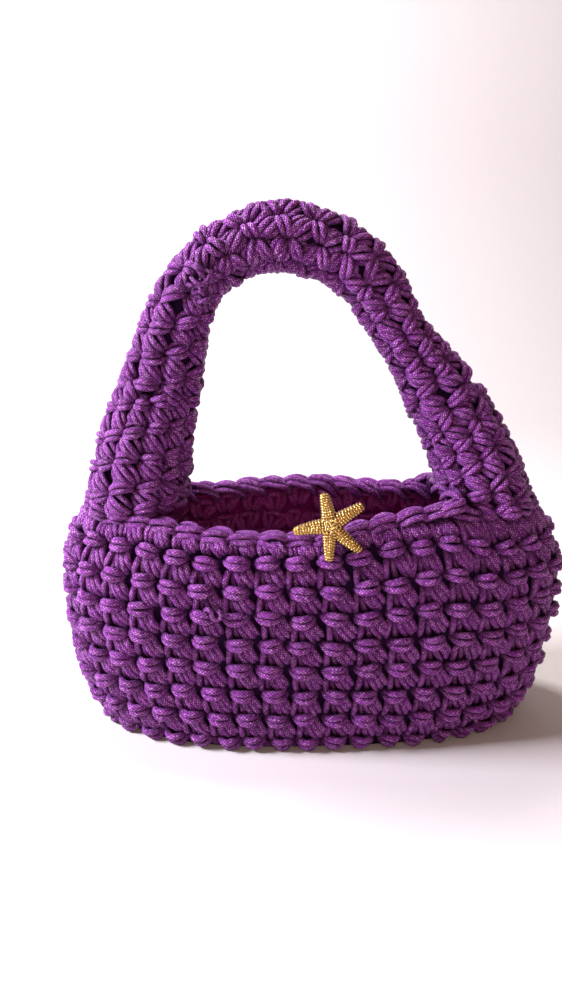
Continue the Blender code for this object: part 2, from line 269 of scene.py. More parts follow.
# columns: place across as a share of half the rim, height as a share of the wave
frontRim = np.array([
    (-1.00, 0.00), (-0.68, 0.00), (-0.52, -0.45), (-0.35, -0.85), (-0.10, -0.95), (0.08, -0.70),
    (0.22, 0.05), (0.40, 0.70), (0.55, 0.75), (0.68, 0.00), (1.00, 0.00),
])
backRim = np.array([
    (-1.00, 0.00), (-0.68, 0.00), (-0.50, -0.60), (-0.20, -0.15), (0.05, 0.00),
    (0.35, -0.45), (0.55, -0.25), (0.68, 0.00), (1.00, 0.00),
])
bodyLow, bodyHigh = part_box("bag_body")
bodyWidth = bodyHigh.x - bodyLow.x - 2.0 * bagBody["solidRelief"]
bodyDepth = bodyHigh.y - bodyLow.y - 2.0 * bagBody["solidRelief"]
rowPitch = (bagBody["height"] - bagBody["rimBand"] - bagBody["firstRow"]) / (bagBody["rows"] - 1)
rimRow = (bagBody["height"] - bagBody["firstRow"]) / rowPitch
baseEdge = -bagBody["firstRow"] / rowPitch - bagBody["baseTurn"]
baseMiddle = baseEdge - bagBody["baseRows"]


def bodyRing(row, count):
    level = max(bagBody["firstRow"] + row * rowPitch, 0.0)
    share = level / bagBody["height"]
    width, depth, squareness = smoothColumn(bodySections[:, 0], bodySections[:, 1:], share)[0]
    halfWidth, halfDepth = width * bodyWidth / 2.0, depth * bodyDepth / 2.0
    outline = oval(halfWidth, halfDepth, squareness, count)
    place = np.clip(outline[:, 0] / halfWidth, -1.0, 1.0)
    front = smoothColumn(frontRim[:, 0], frontRim[:, 1], place)
    back = smoothColumn(backRim[:, 0], backRim[:, 1], place)
    wave = bagBody["rimWave"] * np.where(outline[:, 1] < 0.0, front, back)
    # the front sags onto the floor a little, left of the middle
    away = (outline[:, 0] - bagBody["sagAcross"]) / bagBody["sagReach"]
    sag = bagBody["sag"] * np.exp(-away ** 2) * max(1.0 - level / bagBody["sagHeight"], 0.0)
    outline[:, 1] -= np.where(outline[:, 1] < 0.0, sag, 0.0)
    inset = max(baseEdge - row, 0.0) * rowPitch
    if inset > 0.0:
        outline = oval(max(halfWidth - inset, 0.002), max(halfDepth - inset, 0.001), squareness, count)
    height = level + wave * share ** bagBody["rimWaveFade"]
    return np.column_stack([outline, height])


gridTop = rimRow + 0.15          # a little over the rim, for the chain
bodyGrid = makeGrid([bodyRing(row, 480) for row in np.linspace(baseMiddle, gridTop, 240)],
                    baseMiddle, gridTop)

# One body stitch, wrong side out, around the middle of its bump
# columns: along in stitches, up in rows, out in millimetres, thickness
bumpStrands = {
    "lower": [(-0.44, -0.02, -6.0, 0.80), (-0.36, -0.08, -2.2, 0.95), (-0.15, -0.120, 0.9, 1.05),
              (0.12, -0.120, 0.9, 1.05), (0.32, -0.08, -2.0, 0.95), (0.39, -0.01, -6.0, 0.80)],
    "upper": [(-0.38, 0.03, -6.0, 0.80), (-0.30, 0.06, -2.0, 0.95), (-0.12, 0.120, 0.8, 1.05),
              (0.10, 0.125, 0.7, 1.05), (0.27, 0.07, -2.0, 0.95), (0.35, 0.04, -6.0, 0.80)],
}
legStrands = {
    "left": [(-0.22, -0.12, -5.4, 0.90), (-0.26, -0.32, -2.8, 1.0), (-0.29, -0.54, -1.8, 1.05),
             (-0.29, -0.80, -2.6, 1.0), (-0.26, -1.05, -5.4, 0.85)],
    "between": [(-0.06, -0.12, -5.6, 0.90), (-0.08, -0.34, -3.7, 1.0), (-0.06, -0.58, -3.2, 1.0),
                (0.00, -0.84, -3.3, 1.0), (0.06, -1.08, -5.4, 0.85)],
    "rightLow": [(0.00, -0.14, -5.4, 0.90), (0.04, -0.34, -2.7, 1.0), (0.13, -0.56, -1.8, 1.05),
                 (0.26, -0.80, -2.2, 1.0), (0.36, -1.02, -5.2, 0.85)],
    "rightMiddle": [(0.14, -0.12, -5.4, 0.90), (0.21, -0.30, -2.2, 1.0), (0.33, -0.51, -1.3, 1.05),
                    (0.46, -0.73, -2.1, 1.0), (0.53, -0.93, -5.8, 0.85)],
    "rightHigh": [(0.28, -0.08, -5.4, 0.90), (0.37, -0.23, -2.2, 1.0), (0.49, -0.42, -1.6, 1.05),
                  (0.60, -0.62, -2.8, 1.0), (0.64, -0.82, -6.2, 0.85)],
}
# Short legs that hang from the chain along the rim
rimLegStrands = {
    "leftOuter": [(-0.38, -0.34, -5.0, 0.90), (-0.36, -0.46, -2.8, 1.0), (-0.31, -0.60, -2.2, 1.05),
                  (-0.23, -0.76, -3.0, 1.0), (-0.16, -0.92, -5.6, 0.85)],
    "leftInner": [(-0.16, -0.34, -5.0, 0.90), (-0.16, -0.46, -3.0, 1.0), (-0.14, -0.60, -2.4, 1.05),
                  (-0.10, -0.76, -3.2, 1.0), (-0.06, -0.92, -5.6, 0.85)],
    "rightHigh": [(0.20, -0.30, -5.0, 0.90), (0.31, -0.40, -2.4, 1.0), (0.42, -0.52, -1.8, 1.05),
                  (0.52, -0.66, -2.6, 1.0), (0.58, -0.80, -6.4, 0.85)],
    "rightMiddle": [(0.05, -0.32, -5.0, 0.90), (0.14, -0.44, -2.2, 1.0), (0.28, -0.59, -1.6, 1.05),
                    (0.40, -0.74, -2.4, 1.0), (0.47, -0.88, -6.2, 0.85)],
    "rightLow": [(-0.04, -0.36, -5.0, 0.90), (0.01, -0.50, -2.6, 1.0), (0.12, -0.66, -2.0, 1.05),
                 (0.25, -0.81, -2.6, 1.0), (0.32, -0.95, -6.0, 0.85)],
}
# One stitch seen from inside the bag, right side, a V of doubled cord
insideStrands = {
    "leftOuter": [(-0.48, 0.52, -5.6, 0.85), (-0.41, 0.25, -7.5, 1.05), (-0.22, -0.10, -7.9, 1.05),
                  (-0.06, -0.42, -6.0, 0.85)],
    "leftInner": [(-0.26, 0.55, -5.2, 0.85), (-0.20, 0.28, -6.9, 1.05), (-0.06, -0.04, -7.4, 1.05),
                  (0.02, -0.40, -5.4, 0.85)],
    "rightOuter": [(0.48, 0.52, -5.6, 0.85), (0.42, 0.25, -7.5, 1.05), (0.28, -0.10, -7.9, 1.05),
                   (0.08, -0.42, -6.0, 0.85)],
    "rightInner": [(0.26, 0.55, -5.2, 0.85), (0.22, 0.28, -6.9, 1.05), (0.12, -0.04, -7.4, 1.05),
                   (0.04, -0.40, -5.4, 0.85)],
    "crossing": [(-0.42, 0.36, -5.6, 0.9), (-0.16, 0.48, -6.9, 1.05), (0.18, 0.49, -6.9, 1.05),
                 (0.44, 0.36, -5.6, 0.9)],
}


# columns: looseness in stitches, points along a strand, sides around it, thickness
stitchMeasures = {
    "bump": (0.035, 9, 8, 1.07),
    "leg": (0.03, 9, 8, 1.0),
    "inside": (0.08, 6, 6, 1.08),
    "base": (0.03, 8, 8, 1.0),
}


def stitchPaths(template, measures, turns, rows, columns, floorLevel=None):
    # lay one template at every (turn, row), with its own small shift and turn
    looseness, pathPoints, sides, thickness = stitchMeasures[measures]
    radius = bodyCord * thickness
    turns, rows = np.broadcast_arrays(turns, rows)
    count = len(turns)
    shift = rng.normal(0.0, looseness, (count, 2))
    lift = rng.normal(0.0, 0.35, count)
    tilt = rng.normal(0.0, 2.2 * looseness, count)
    stretch = 1.0 + rng.normal(0.0, looseness, count)
    batches = []
    for strand in template.values():
        control = np.array(strand, float)[None].repeat(count, axis=0)
        control[:, :, :3] += rng.normal(0.0, 1.0, control[:, :, :3].shape) * np.array(
            (0.35 * looseness, 0.35 * looseness, 0.18))
        path = smoothPaths(control, pathPoints)
        cosine, sine = np.cos(tilt)[:, None], np.sin(tilt)[:, None]
        along = (path[..., 0] * cosine - path[..., 1] * sine) * stretch[:, None] + shift[:, :1]
        up = path[..., 1] * cosine + path[..., 0] * sine + shift[:, 1:]
        out = (path[..., 2] + lift[:, None]) * mm
        place, normal = readGrid(bodyGrid, turns[:, None] + along / columns, rows[:, None] + up)
        points = place + normal * out[..., None]
        radii = path[..., 3] * radius * (1.0 + rng.normal(0.0, 0.03, count))[:, None]
        if floorLevel is not None:
            points[..., 2] = np.maximum(points[..., 2], floorLevel + radii)
        batches.append(sweep(points, radii, normal[:, 0], sides))
    return batches


def bodyStitchPlaces():
    # hand tension lets the rows and the columns wander a little
    column, row = np.meshgrid(np.arange(bagBody["columns"]), np.arange(bagBody["rows"]))
    column, row = column.ravel() + 0.5, row.ravel().astype(float)
    turn = 2.0 * math.pi * column / bagBody["columns"]
    sway = 0.05 * np.sin(3.0 * turn + 0.6 * row) + 0.03 * np.sin(7.0 * turn - 0.8 * row)
    slip = 0.35 * np.cos(turn) + 0.05 * np.sin(2.0 * turn + 0.9 * row) + 0.03 * np.sin(5.0 * turn - 1.7 * row)
    column = column + bagBody["lean"] * (bagBody["rows"] - 1 - row) + slip
    ends = np.where(row > 0.5, 1.0, 0.4)
    return np.mod(column / bagBody["columns"], 1.0), row + sway * ends


def cordMaterial(name, settings):
    material = bpy.data.materials.new(name)
    material.use_nodes = True
    nodes, links = material.node_tree.nodes, material.node_tree.links
    shader = nodes["Principled BSDF"]
    shader.inputs["Specular IOR Level"].default_value = settings["specular"]
    shader.inputs["Specular Tint"].default_value = (*settings["specularTint"], 1.0)
    shader.inputs["Sheen Weight"].default_value = settings["sheen"]
    shader.inputs["Sheen Roughness"].default_value = 0.4
    shader.inputs["Sheen Tint"].default_value = (*settings["sheenTint"], 1.0)

    def maths(operation, first, second=None, third=None):
        node = nodes.new("ShaderNodeMath")
        node.operation = operation
        for socket, value in zip(node.inputs, (first, second, third)):
            if value is None:
                continue
            if isinstance(value, (int, float)):
                socket.default_value = value
            else:
                links.new(value, socket)
        return node.outputs[0]

    def mix(factor, first, second, blend="MIX"):
        node = nodes.new("ShaderNodeMix")
        node.data_type = "RGBA"
        node.blend_type = blend
        for socket, value in zip((node.inputs["Factor"], node.inputs[6], node.inputs[7]),
                                 (factor, first, second)):
            if isinstance(value, tuple):
                socket.default_value = (*value, 1.0)
            elif isinstance(value, float):
                socket.default_value = value
            else:
                links.new(value, socket)
        return node.outputs[2]

    # the braid's picks lie in two crossing spirals around the cord
    run = nodes.new("ShaderNodeUVMap")
    run.uv_map = "cordRun"
    split = nodes.new("ShaderNodeSeparateXYZ")
    links.new(run.outputs["UV"], split.inputs[0])
    around = maths("MULTIPLY", split.outputs[0], settings["picksRound"])
    along = maths("DIVIDE", split.outputs[1], settings["pickLength"])
    leftHand = maths("ADD", around, along)
    rightHand = maths("SUBTRACT", around, along)
    leftWave = maths("ABSOLUTE", maths("SINE", maths("MULTIPLY", leftHand, math.pi)))
    rightWave = maths("ABSOLUTE", maths("SINE", maths("MULTIPLY", rightHand, math.pi)))
    picks = maths("POWER", maths("MULTIPLY", leftWave, rightWave), 0.5)

    cell = nodes.new("ShaderNodeCombineXYZ")
    links.new(maths("FLOOR", leftHand), cell.inputs[0])
    links.new(maths("FLOOR", rightHand), cell.inputs[1])
    strand = nodes.new("ShaderNodeAttribute")
    strand.attribute_name = "strandTint"
    links.new(maths("MULTIPLY", strand.outputs["Fac"], 97.0), cell.inputs[2])
    chance = nodes.new("ShaderNodeTexWhiteNoise")
    chance.noise_dimensions = "3D"
    links.new(cell.outputs[0], chance.inputs["Vector"])

    wander = nodes.new("ShaderNodeTexNoise")
    wander.inputs["Scale"].default_value = 140.0
    wander.inputs["Detail"].default_value = 2.0
    where = nodes.new("ShaderNodeTexCoord")
    links.new(where.outputs["Object"], wander.inputs["Vector"])
    tone = maths("MULTIPLY_ADD", strand.outputs["Fac"], 0.5, maths("MULTIPLY", wander.outputs["Fac"], 0.5))
    cord = mix(tone, settings["shade"], settings["light"])
    # painted highlight: random picks are lightened towards pale lilac in the base colour, as sparkles of
    # light off the satin braid
    paintedGlint = maths("MULTIPLY", maths("POWER", chance.outputs["Value"], settings["paintedGlintRarity"]), picks)
    cord = mix(maths("MULTIPLY", paintedGlint, settings["paintedGlintShare"]), cord, settings["paintedGlint"])
    # painted shade: the grooves between the picks are darkened in the base colour
    cord = mix(maths("MULTIPLY_ADD", picks, -settings["grooveShade"], settings["grooveShade"]),
               cord, settings["paintedShadeColour"])
    # painted shade: where ambient occlusion finds the cord tucked into hollows, the base colour darkens
    hollows = nodes.new("ShaderNodeAmbientOcclusion")
    hollows.samples = 8
    hollows.inputs["Distance"].default_value = settings["hollowReach"]
    paintedHollowAmount = maths("SUBTRACT", 1.0, hollows.outputs["AO"])
    cord = mix(maths("MULTIPLY", paintedHollowAmount, settings["paintedHollowShade"]), cord, settings["paintedShadeColour"])
    links.new(cord, shader.inputs["Base Color"])
    rough = maths("MULTIPLY_ADD", chance.outputs["Value"], -settings["roughnessRange"], settings["roughness"])
    links.new(rough, shader.inputs["Roughness"])

    bump = nodes.new("ShaderNodeBump")
    bump.inputs["Strength"].default_value = settings["bump"]
    bump.inputs["Distance"].default_value = settings["pickDepth"]
    links.new(picks, bump.inputs["Height"])
    links.new(bump.outputs[0], shader.inputs["Normal"])
    return material


purpleCord = {
    "shade": (0.115, 0.005, 0.150),
    "light": (0.330, 0.026, 0.450),
    # pale lilac painted in on random picks as highlights
    "paintedGlint": (0.900, 0.380, 1.000),
    "paintedGlintShare": 0.82,
    "paintedGlintRarity": 1.6,
    # painted shade colour, for the braid's grooves and the cord's hollows
    "paintedShadeColour": (0.016, 0.001, 0.024),
    "grooveShade": 0.90,
    "hollowReach": 0.0085,
    "paintedHollowShade": 0.95,
    "roughness": 0.50,
    "roughnessRange": 0.26,
    "specular": 0.36,
    "specularTint": (0.90, 0.55, 1.0),
    "sheen": 0.03,
    "sheenTint": (0.85, 0.45, 1.0),
    "picksRound": 7.0,
    "pickLength": 0.00130,
    "pickDepth": 0.00050,
    "bump": 1.0,
}
purple = cordMaterial("purpleBraidedCord", purpleCord)
# painted light: the inside stitches are the same cord given much brighter magenta tones, for light shining
# through and bouncing inside the bag
insideCordPaintedGlow = dict(purpleCord, shade=(0.500, 0.012, 0.310), light=(0.760, 0.034, 0.540))
purpleInsidePaintedGlow = cordMaterial("purpleBraidedCordInsidePaintedGlow", insideCordPaintedGlow)


# a dark, finely mottled matte finish for the sheets that stand in as painted shade
def paintedShadeMaterial(name, dark, light):
    material = bpy.data.materials.new(name)
    material.use_nodes = True
    nodes, links = material.node_tree.nodes, material.node_tree.links
    shader = nodes["Principled BSDF"]
    shader.inputs["Roughness"].default_value = 0.9
    shader.inputs["Specular IOR Level"].default_value = 0.1
    grain = nodes.new("ShaderNodeTexNoise")
    grain.inputs["Scale"].default_value = 420.0
    where = nodes.new("ShaderNodeTexCoord")
    links.new(where.outputs["Object"], grain.inputs["Vector"])
    ramp = nodes.new("ShaderNodeMix")
    ramp.data_type = "RGBA"
    ramp.inputs[6].default_value = (*dark, 1.0)
    ramp.inputs[7].default_value = (*light, 1.0)
    links.new(grain.outputs["Fac"], ramp.inputs["Factor"])
    links.new(ramp.outputs[2], shader.inputs["Base Color"])
    return material


# painted shade: near-black purple behind the outer stitches and the handle, darker magenta behind the inside
# stitches
paintedShadeCore = paintedShadeMaterial("paintedShadePurple", (0.006, 0.001, 0.011), (0.018, 0.003, 0.034))
paintedShadeInside = paintedShadeMaterial("paintedShadeMagenta", (0.100, 0.004, 0.070), (0.300, 0.010, 0.200))


def goldMaterial(name, hollow, crest, roughness):
    material = bpy.data.materials.new(name)
    material.use_nodes = True
    nodes, links = material.node_tree.nodes, material.node_tree.links
    shader = nodes["Principled BSDF"]
    shader.inputs["Metallic"].default_value = 1.0
    shader.inputs["Roughness"].default_value = roughness
    hollows = nodes.new("ShaderNodeAmbientOcclusion")
    hollows.inputs["Distance"].default_value = 0.0016
    patina = nodes.new("ShaderNodeMix")
    patina.data_type = "RGBA"
    curve = nodes.new("ShaderNodeMapRange")
    curve.inputs["From Min"].default_value = 0.45
    curve.inputs["From Max"].default_value = 0.86
    links.new(hollows.outputs["AO"], curve.inputs["Value"])
    links.new(curve.outputs[0], patina.inputs["Factor"])
    patina.inputs[6].default_value = (*hollow, 1.0)
    patina.inputs[7].default_value = (*crest, 1.0)
    links.new(patina.outputs[2], shader.inputs["Base Color"])
    return material


gold = goldMaterial("patinatedGold", (0.060, 0.020, 0.008), (0.900, 0.640, 0.220), 0.26)
oldGold = goldMaterial("patinatedGoldHollows", (0.030, 0.010, 0.006), (0.360, 0.190, 0.045), 0.34)


def dress(piece, material, standsFor):
    piece.data.materials.append(material)
    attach(piece, "root")
    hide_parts(standsFor)


# Body: outside stitches, the legs under the rim, the inside and the base
bodyCord = bagBody["cordRadius"]
columns = bagBody["columns"]
turns, rows = bodyStitchPlaces()
onFront = readGrid(bodyGrid, turns, rows)[0][:, 1] < 0.0
topTurns = np.mod((np.arange(columns) + 0.5 - bagBody["lean"]) / columns, 1.0)
topPlace = readGrid(bodyGrid, topTurns, np.full(columns, rimRow - 0.5))[0]
topFront = topPlace[:, 1] < 0.0
underHandle = topPlace[:, 0] > bagBody["handleFrom"]
for name, chosen, topChosen in (("bodyStitchesFront", onFront, topFront),
                                ("bodyStitchesBack", ~onFront, ~topFront)):
    batches = stitchPaths(bumpStrands, "bump", turns[chosen], rows[chosen], columns, floorLevel=0.0)
    batches += stitchPaths(legStrands, "leg", turns[chosen], rows[chosen], columns, floorLevel=0.0)
    for strands, here in ((rimLegStrands, topChosen & ~underHandle), (legStrands, topChosen & underHandle)):
        batches += stitchPaths(strands, "leg", topTurns[here], float(bagBody["rows"]), columns)
    dress(joinTubes(name, batches), purple, "bag_body")

insideFloor = 0.0045             # the inside stitches stay over the base
batches = stitchPaths(insideStrands, "inside", turns, rows, columns, floorLevel=insideFloor)
dress(joinTubes("bodyStitchesInside", batches), purpleInsidePaintedGlow, "bag_body")

baseRounds = [(-1.0, 38), (-2.0, 24)]       # row number and stitches in the round
# the lowest round turns under the bag as wide nested arcs
shellStrands = {
    "high": [(-0.50, 0.34, -4.5, 0.85), (-0.36, 0.24, -0.6, 1.0), (0.00, 0.20, 0.6, 1.05),
             (0.36, 0.26, -0.6, 1.0), (0.50, 0.36, -4.5, 0.85)],
    "middle": [(-0.50, 0.14, -4.5, 0.85), (-0.36, 0.00, -0.5, 1.0), (0.00, -0.06, 0.8, 1.05),
               (0.36, 0.02, -0.5, 1.0), (0.50, 0.16, -4.5, 0.85)],
    "low": [(-0.48, -0.08, -4.5, 0.85), (-0.32, -0.26, -0.8, 1.0), (0.00, -0.32, 0.2, 1.05),
            (0.32, -0.24, -0.8, 1.0), (0.48, -0.06, -4.5, 0.85)],
}
batches = []
for row, stitches in baseRounds:
    baseTurns = (np.arange(stitches) + 0.5) / stitches
    for strands in (shellStrands if row > -1.5 else bumpStrands, legStrands):
        batches += stitchPaths(strands, "base", baseTurns, row, stitches, floorLevel=0.0)
dress(joinTubes("bodyStitchesBase", batches), purple, "bag_body")
print("body stitched")


# Rim: one chain link to a stitch, an outer and an inner arm of doubled cord
# columns: along in stitches, across the wall in mm (outwards), up in mm, thickness
rimLink = {
    "outerHigh": [(-0.62, -0.8, -1.8, 0.85), (-0.34, 1.0, 0.0, 0.95), (0.00, 1.9, 0.5, 0.95),
                  (0.34, 1.7, -0.1, 0.95), (0.62, 0.4, -2.4, 0.85)],
    "outerLow": [(-0.60, 0.2, -3.8, 0.80), (-0.30, 2.5, -2.5, 0.95), (0.02, 3.3, -2.3, 0.95),
                 (0.34, 2.9, -2.9, 0.95), (0.60, 1.0, -4.6, 0.80)],
    "innerHigh": [(-0.62, 0.4, -1.6, 0.85), (-0.34, -1.2, 0.4, 1.0), (0.02, -2.6, 0.4, 1.0),
                  (0.40, -3.2, -1.6, 1.0), (0.74, -2.6, -5.0, 0.85)],
    "innerLow": [(-0.60, -0.8, -3.4, 0.85), (-0.30, -3.0, -1.6, 1.0), (0.06, -4.2, -2.0, 1.0),
                 (0.42, -4.4, -4.2, 1.0), (0.72, -3.4, -7.4, 0.85)],
}
rimSetup = {
    "links": 40, "middleOfWall": -4.4, "down": 1.0, "looseness": 0.06, "waver": 0.38,
    "lastAcross": 0.071,         # the chain stops here at the right, under the handle
    "climb": 0.0040, "climbFrom": 0.035, "climbOver": 0.030,     # up to the handle's right foot
    "turnLink": 0.0125, "turnNarrow": 0.7,
}
# The chain's way past the right foot of the handle, from the front rim to the back rim
rimTurnRight = [(0.0580, -0.0322, 0.1262), (0.0660, -0.0290, 0.1282), (0.0650, -0.0170, 0.1280),
                (0.0620, 0.0000, 0.1262), (0.0640, 0.0170, 0.1236), (0.0640, 0.0275, 0.1206),
                (0.0570, 0.0315, 0.1186)]


def rimPaths():
    count = rimSetup["links"]
    linkTurns = (np.arange(count) + 0.5) / count
    middles = readGrid(bodyGrid, linkTurns, np.full(count, rimRow))[0]
    linkTurns = linkTurns[middles[:, 0] < rimSetup["lastAcross"]]
    kept = len(linkTurns)
    batches = []
    for table in rimLink.values():
        control = np.array(table, float)[None].repeat(kept, axis=0)
        control[:, :, 0] += rng.normal(0.0, rimSetup["looseness"], (kept, 1))
        control[:, :, 1:3] += rng.normal(0.0, rimSetup["waver"], control[:, :, 1:3].shape)
        path = smoothPaths(control, 10)
        turn = linkTurns[:, None] - path[..., 0] / count
        place, normal = readGrid(bodyGrid, turn, np.full(turn.shape, rimRow))
        level = normal * (1.0, 1.0, 0.0)
        level /= np.linalg.norm(level, axis=-1)[..., None]
        points = place + level * ((path[..., 1] + rimSetup["middleOfWall"]) * mm)[..., None]
        points[..., 2] += (path[..., 2] - rimSetup["down"]) * mm
        near = np.clip((points[..., 0] - rimSetup["climbFrom"]) / rimSetup["climbOver"], 0.0, 1.0)
        near = near * (points[..., 1] < 0.0)
        points[..., 2] += rimSetup["climb"] * near
        batches.append(sweep(points, path[..., 3] * bodyCord, level[:, 0], 8))
    return batches


def rimTurnPaths():
    line = smoothPaths(np.array(rimTurnRight)[None], 121)[0]
    run = np.concatenate([[0.0], np.cumsum(np.linalg.norm(np.diff(line, axis=0), axis=1))])
    links = int(round(run[-1] / rimSetup["turnLink"]))
    batches = []
    for arm in ("outerHigh", "outerLow", "innerHigh"):
        path = smoothPaths(np.array(rimLink[arm], float)[None].repeat(links, axis=0), 10)
        share = (np.arange(links)[:, None] + 0.5 + path[..., 0]) / links
        place = np.stack([np.interp(share, run / run[-1], line[:, k]) for k in range(3)], axis=-1)
        ahead = np.stack([np.interp(share + 0.03, run / run[-1], line[:, k])
                          - np.interp(share - 0.03, run / run[-1], line[:, k]) for k in range(3)], axis=-1)
        aside = np.cross(ahead, (0.0, 0.0, 1.0))
        aside /= np.linalg.norm(aside, axis=-1)[..., None] + 1e-9
        points = place + aside * (path[..., 1] * rimSetup["turnNarrow"] * mm)[..., None]
        points[..., 2] += (path[..., 2] - rimSetup["down"]) * mm
        batches.append(sweep(points, path[..., 3] * bodyCord, aside[:, 0], 8))
    return batches


dress(joinTubes("rimChain", rimPaths() + rimTurnPaths()), purple, "bag_body")


# Cut end of the cord, curled on the front of the body
# columns: along in mm, up in mm, out in mm, thickness
cordEnd = [(-4.4, -0.6, -1.5, 0.9), (-3.8, 1.2, 1.4, 1.0), (-2.2, 2.2, 2.8, 1.0), (-0.8, 0.9, 3.4, 1.0),
           (-0.4, -1.2, 3.4, 1.0), (1.2, -2.6, 3.2, 1.0), (3.2, -1.8, 3.2, 1.0), (3.5, 0.6, 3.0, 1.0),
           (2.0, 1.8, 2.6, 0.9)]
cordEndPlace = {"across": -0.0455, "height": 0.0800, "thickness": 0.72, "stitchWidth": 14.5}


def cordEndPaths():
    row = (cordEndPlace["height"] - bagBody["firstRow"]) / rowPitch
    fine = np.arange(2000) / 2000.0
    ring = readGrid(bodyGrid, fine, np.full(2000, row))[0]
    away = np.where(ring[:, 1] < 0.0, np.abs(ring[:, 0] - cordEndPlace["across"]), 1.0)
    turn = fine[np.argmin(away)]
    path = smoothPaths(np.array(cordEnd)[None], 44)
    turns = turn + path[..., 0] / cordEndPlace["stitchWidth"] / bagBody["columns"]
    place, normal = readGrid(bodyGrid, turns, row + path[..., 1] * mm / rowPitch)
    points = place + normal * (path[..., 2] * mm)[..., None]
    return [sweep(points, path[..., 3] * bodyCord * cordEndPlace["thickness"], normal[:, 0], 8)]


dress(joinTubes("cordEnd", cordEndPaths()), purple, "bag_body")


# Handle: its middle line, sections and lattice of holes
strap = {
    "setIn": 0.0005, "width": 0.050, "depth": 0.054, "rise": 0.122, "levelling": 0.030,
    "squareness": 2.2, "rows": 24, "clearance": 0.0003,
    "cordRadius": 0.00142, "wander": 0.085,     # how far the holes stray, in columns and rows
}
# columns: across as a share of the reach, up as a share of the rise, width, depth as shares
strapSections = np.array([
    (-1.000, 0.000, 1.00, 1.00), (-0.930, 0.228, 0.88, 0.76), (-0.826, 0.458, 0.76, 0.56),
    (-0.738, 0.675, 0.63, 0.49), (-0.607, 0.852, 0.54, 0.47), (-0.417, 0.950, 0.54, 0.46),
    (-0.186, 0.996, 0.61, 0.46), (0.056, 0.959, 0.58, 0.46), (0.310, 0.820, 0.54, 0.46),
    (0.470, 0.648, 0.49, 0.47), (0.664, 0.460, 0.66, 0.52), (0.865, 0.236, 0.76, 0.72),
    (1.015, 0.000, 0.86, 1.00),
])
reach = bodySections[-1, 1] * bodyWidth / 2.0 - strap["setIn"] - strap["width"] / 2.0
strapTable = np.column_stack([
    strapSections[:, 0] * reach,
    bagBody["height"] + strap["clearance"] + strapSections[:, 1] * strap["rise"],
    strapSections[:, 2] * strap["width"],
    strapSections[:, 3] * strap["depth"],
])
strapSteps = np.hypot(np.diff(strapTable[:, 0]), np.diff(strapTable[:, 1]))
strapRun = np.concatenate([[0.0], np.cumsum(strapSteps)])
strapLength = strapRun[-1]


def strapRing(place, count):
    across, up, width, depth = smoothColumn(strapRun, strapTable, place)[0]
    probe = strapLength / 300.0
    ahead = smoothColumn(strapRun, strapTable, min(place + probe, strapLength))[0]
    behind = smoothColumn(strapRun, strapTable, max(place - probe, 0.0))[0]
    along = np.array([ahead[0] - behind[0], ahead[1] - behind[1]])
    along /= np.linalg.norm(along)
    share = min(min(place, strapLength - place) / strap["levelling"], 1.0)
    level = 1.0 if place < strapLength / 2.0 else -1.0
    along = along * share + np.array([0.0, level]) * (1.0 - share)
    along /= np.linalg.norm(along)
    outline = oval(width / 2.0, depth / 2.0, strap["squareness"], count)
    return np.column_stack([across - along[1] * outline[:, 0], outline[:, 1],
                            up + along[0] * outline[:, 0]])


strapGrid = makeGrid([strapRing(place, 240) for place in np.linspace(0.0, strapLength, 241)],
                     0.0, float(strap["rows"]), hand=-1.0)
strapRowPitch = strapLength / strap["rows"]
ringSteps = np.diff(np.concatenate([strapGrid["points"], strapGrid["points"][:, :1]], axis=1), axis=1)
strapPerimeter = np.linalg.norm(ringSteps, axis=2).sum(axis=1)


def perimeterAt(row):
    return np.interp(row, np.linspace(0.0, strap["rows"], len(strapPerimeter)), strapPerimeter)


# columns: first row, last row, columns of holes around, rows that one turn around climbs
strapZones = [(-0.4, 4.2, 12, 8), (4.2, 19.8, 8, 5), (19.8, 24.4, 12, 8)]


def strapLattice():
    # every column of holes stands a part of a row further along than the one before
    bundles = []
    for first, last, columns, climb in strapZones:
        rows = np.arange(-climb - 2, strap["rows"] + 3)
        wander = rng.normal(0.0, strap["wander"], (columns, len(rows) + climb + 1, 2))

        def hole(column, row):
            lap = column // columns
            shift = wander[column - lap * columns, row + lap * climb - rows[0]]
            return (column + shift[0]) / columns, row + climb * column / columns + shift[1]

        for column in range(columns):
            for row in rows[1:]:
                start = hole(column, row)
                for kind, end in ((1, hole(column + 1, row)), (0, hole(column + 1, row - 1))):
                    if first <= (start[1] + end[1]) / 2.0 < last:
                        low, high = np.clip((start[1], end[1]), 0.05, strap["rows"] - 0.05)
                        bundles.append((start[0], low, end[0], high, kind))
    return np.array(bundles)


# columns: sideways in mm at the middle, out in mm at the middle, thickness
bundleStrands = {1: [(-4.1, -2.2, 1.0), (-1.4, -0.7, 1.05), (1.4, -0.6, 1.05), (4.2, -2.0, 1.0)],
                 0: [(-1.5, -0.4, 1.05), (1.3, -0.1, 1.05), (4.0, -3.2, 1.0)]}
bundleSetup = {"dive": -6.0, "gap": 0.3, "stagger": 0.7, "pinch": 0.42, "bow": 0.7, "lift": 0.45,
               "points": 9, "sides": 8}


